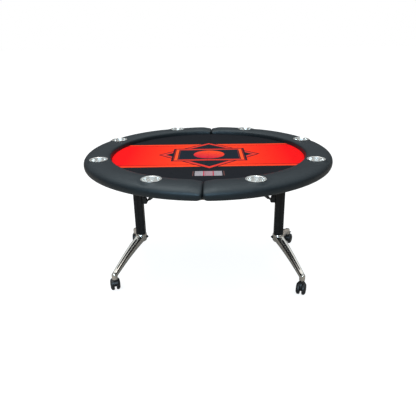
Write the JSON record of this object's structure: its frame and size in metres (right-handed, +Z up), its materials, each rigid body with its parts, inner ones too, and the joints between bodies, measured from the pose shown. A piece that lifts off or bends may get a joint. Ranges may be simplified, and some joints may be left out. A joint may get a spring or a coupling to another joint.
{
  "type": "folding poker table",
  "caption": "Round folding poker table with padded armrest, drop-in cup holders, printed cloth, and two legs on polished feet with casters.",
  "frame": {"origin": "on the floor below the middle of the round top", "axes": "+Z up, X across the two legs, -Y towards the players at the front"},
  "size_m": [1.372, 1.3718, 0.7508],
  "materials": {
    "leatherette": "satin black leatherette over foam",
    "cup_steel": "polished stainless steel",
    "plywood": "birch plywood",
    "black_underside": "plywood with black laminate",
    "playing_cloth": "printed polyester speed cloth, red band on charcoal",
    "black_metal": "satin black powder coat",
    "column_black": "black anodised aluminium extrusion",
    "polished_alloy": "polished aluminium casting",
    "chrome_rod": "chromed steel",
    "zinc": "zinc-plated steel",
    "black_plastic": "black nylon",
    "wheel_tread": "black polyurethane tread on nylon"
  },
  "bodies": {
    "left_leg": {"left_column": "column_black", "left_column_head": "black_metal", "left_foot": "polished_alloy", "left_hub_bolt": "black_plastic", "left_front_foot_inlay": "black_plastic", "left_rear_foot_inlay": "black_plastic", "left_strut_bracket": "black_metal"},
    "left_top": {"left_rail_cushion": "leatherette", "left_rail_board": "plywood", "left_base_board": "black_underside", "left_play_board": "plywood", "left_playing_cloth": "playing_cloth", "left_sub_frame": "black_metal", "left_column_pin": "zinc", "left_front_inner_cup": "cup_steel", "left_front_outer_cup": "cup_steel", "left_rear_inner_cup": "cup_steel", "left_rear_outer_cup": "cup_steel", "front_hinge_left_leaf": "zinc", "front_hinge_pin": "zinc", "rear_hinge_left_leaf": "zinc", "rear_hinge_pin": "zinc"},
    "left_strut_tube": {"left_strut_tube": "black_metal"},
    "left_strut_rod": {"left_strut_rod": "chrome_rod"},
    "left_front_caster": {"left_front_caster_body": "black_plastic"},
    "left_front_wheel_a": {"left_front_wheel_a": "wheel_tread"},
    "left_front_wheel_b": {"left_front_wheel_b": "wheel_tread"},
    "left_rear_caster": {"left_rear_caster_body": "black_plastic"},
    "left_rear_wheel_a": {"left_rear_wheel_a": "wheel_tread"},
    "left_rear_wheel_b": {"left_rear_wheel_b": "wheel_tread"},
    "right_leg": {"right_column": "column_black", "right_column_head": "black_metal", "right_foot": "polished_alloy", "right_hub_bolt": "black_plastic", "right_front_foot_inlay": "black_plastic", "right_rear_foot_inlay": "black_plastic", "right_strut_bracket": "black_metal"},
    "right_top": {"right_rail_cushion": "leatherette", "right_rail_board": "plywood", "right_base_board": "black_underside", "right_play_board": "plywood", "right_playing_cloth": "playing_cloth", "right_sub_frame": "black_metal", "right_column_pin": "zinc", "right_front_inner_cup": "cup_steel", "right_front_outer_cup": "cup_steel", "right_rear_inner_cup": "cup_steel", "right_rear_outer_cup": "cup_steel", "front_hinge_right_leaf": "zinc", "rear_hinge_right_leaf": "zinc"},
    "right_strut_tube": {"right_strut_tube": "black_metal"},
    "right_strut_rod": {"right_strut_rod": "chrome_rod"},
    "right_front_caster": {"right_front_caster_body": "black_plastic"},
    "right_front_wheel_a": {"right_front_wheel_a": "wheel_tread"},
    "right_front_wheel_b": {"right_front_wheel_b": "wheel_tread"},
    "right_rear_caster": {"right_rear_caster_body": "black_plastic"},
    "right_rear_wheel_a": {"right_rear_wheel_a": "wheel_tread"},
    "right_rear_wheel_b": {"right_rear_wheel_b": "wheel_tread"},
    "left_front_brake": {"left_front_brake_lever": "black_plastic"},
    "right_rear_brake": {"right_rear_brake_lever": "black_plastic"}
  },
  "joints": [
    {"name": "left_fold", "type": "hinge", "parent": "left_leg", "child": "left_top", "pos_m": [-0.42, 0, 0.648], "axis": [0, -1, 0], "range_deg": [0, 82]},
    {"name": "centre_fold", "type": "hinge", "parent": "left_top", "child": "right_top", "pos_m": [0, 0, 0.628], "axis": [0, 1, 0], "range_deg": [0, 164]},
    {"name": "right_fold", "type": "hinge", "parent": "right_top", "child": "right_leg", "pos_m": [0.42, 0, 0.648], "axis": [0, -1, 0], "range_deg": [0, 82]},
    {"name": "left_strut_swing", "type": "hinge", "parent": "left_leg", "child": "left_strut_tube", "pos_m": [-0.374, -0.012, 0.43], "axis": [0, -1, 0], "range_deg": [0, 53.32]},
    {"name": "left_strut_slide", "type": "slide", "parent": "left_strut_tube", "child": "left_strut_rod", "axis": [0.7891, 0, 0.6143], "range_m": [0, 0.18316]},
    {"name": "right_strut_swing", "type": "hinge", "parent": "right_leg", "child": "right_strut_tube", "pos_m": [0.374, 0.012, 0.43], "axis": [0, 1, 0], "range_deg": [0, 53.32]},
    {"name": "right_strut_slide", "type": "slide", "parent": "right_strut_tube", "child": "right_strut_rod", "axis": [-0.7891, 0, 0.6143], "range_m": [0, 0.18316]},
    {"name": "left_front_swivel", "type": "hinge", "parent": "left_leg", "child": "left_front_caster", "pos_m": [-0.523, -0.302, 0.09], "axis": [0, 0, 1], "continuous": true},
    {"name": "left_front_roll_a", "type": "hinge", "parent": "left_front_caster", "child": "left_front_wheel_a", "pos_m": [-0.52881, -0.28602, 0.034], "axis": [-0.9397, -0.342, 0], "continuous": true},
    {"name": "left_front_roll_b", "type": "hinge", "parent": "left_front_caster", "child": "left_front_wheel_b", "pos_m": [-0.52881, -0.28602, 0.034], "axis": [-0.9397, -0.342, 0], "continuous": true},
    {"name": "left_front_brake", "type": "hinge", "parent": "left_front_caster", "child": "left_front_brake", "pos_m": [-0.53326, -0.27381, 0.0715], "axis": [-0.9397, -0.342, 0], "range_deg": [0, 8]},
    {"name": "left_rear_swivel", "type": "hinge", "parent": "left_leg", "child": "left_rear_caster", "pos_m": [-0.523, 0.302, 0.09], "axis": [0, 0, 1], "continuous": true},
    {"name": "left_rear_roll_a", "type": "hinge", "parent": "left_rear_caster", "child": "left_rear_wheel_a", "pos_m": [-0.52537, 0.31883, 0.034], "axis": [-0.9903, -0.1392, 0], "continuous": true},
    {"name": "left_rear_roll_b", "type": "hinge", "parent": "left_rear_caster", "child": "left_rear_wheel_b", "pos_m": [-0.52537, 0.31883, 0.034], "axis": [-0.9903, -0.1392, 0], "continuous": true},
    {"name": "right_front_swivel", "type": "hinge", "parent": "right_leg", "child": "right_front_caster", "pos_m": [0.523, -0.302, 0.09], "axis": [0, 0, 1], "continuous": true},
    {"name": "right_front_roll_a", "type": "hinge", "parent": "right_front_caster", "child": "right_front_wheel_a", "pos_m": [0.51775, -0.31817, 0.034], "axis": [0.9511, -0.309, 0], "continuous": true},
    {"name": "right_front_roll_b", "type": "hinge", "parent": "right_front_caster", "child": "right_front_wheel_b", "pos_m": [0.51775, -0.31817, 0.034], "axis": [0.9511, -0.309, 0], "continuous": true},
    {"name": "right_rear_swivel", "type": "hinge", "parent": "right_leg", "child": "right_rear_caster", "pos_m": [0.523, 0.302, 0.09], "axis": [0, 0, 1], "continuous": true},
    {"name": "right_rear_roll_a", "type": "hinge", "parent": "right_rear_caster", "child": "right_rear_wheel_a", "pos_m": [0.53019, 0.31741, 0.034], "axis": [-0.9063, 0.4226, 0], "continuous": true},
    {"name": "right_rear_roll_b", "type": "hinge", "parent": "right_rear_caster", "child": "right_rear_wheel_b", "pos_m": [0.53019, 0.31741, 0.034], "axis": [-0.9063, 0.4226, 0], "continuous": true},
    {"name": "right_rear_brake", "type": "hinge", "parent": "right_rear_caster", "child": "right_rear_brake", "pos_m": [0.53568, 0.32919, 0.0715], "axis": [-0.9063, 0.4226, 0], "range_deg": [0, 8]}
  ],
  "couplings": [
    {"joint": "centre_fold", "follows": "left_fold", "ratio": 2},
    {"joint": "right_fold", "follows": "left_fold", "ratio": 1},
    {"joint": "left_strut_swing", "follows": "left_fold", "ratio": 0.65029},
    {"joint": "left_strut_slide", "follows": "left_fold", "m_per_rad": 0.12791},
    {"joint": "right_strut_swing", "follows": "left_fold", "ratio": 0.65029},
    {"joint": "right_strut_slide", "follows": "left_fold", "m_per_rad": 0.12791}
  ]
}
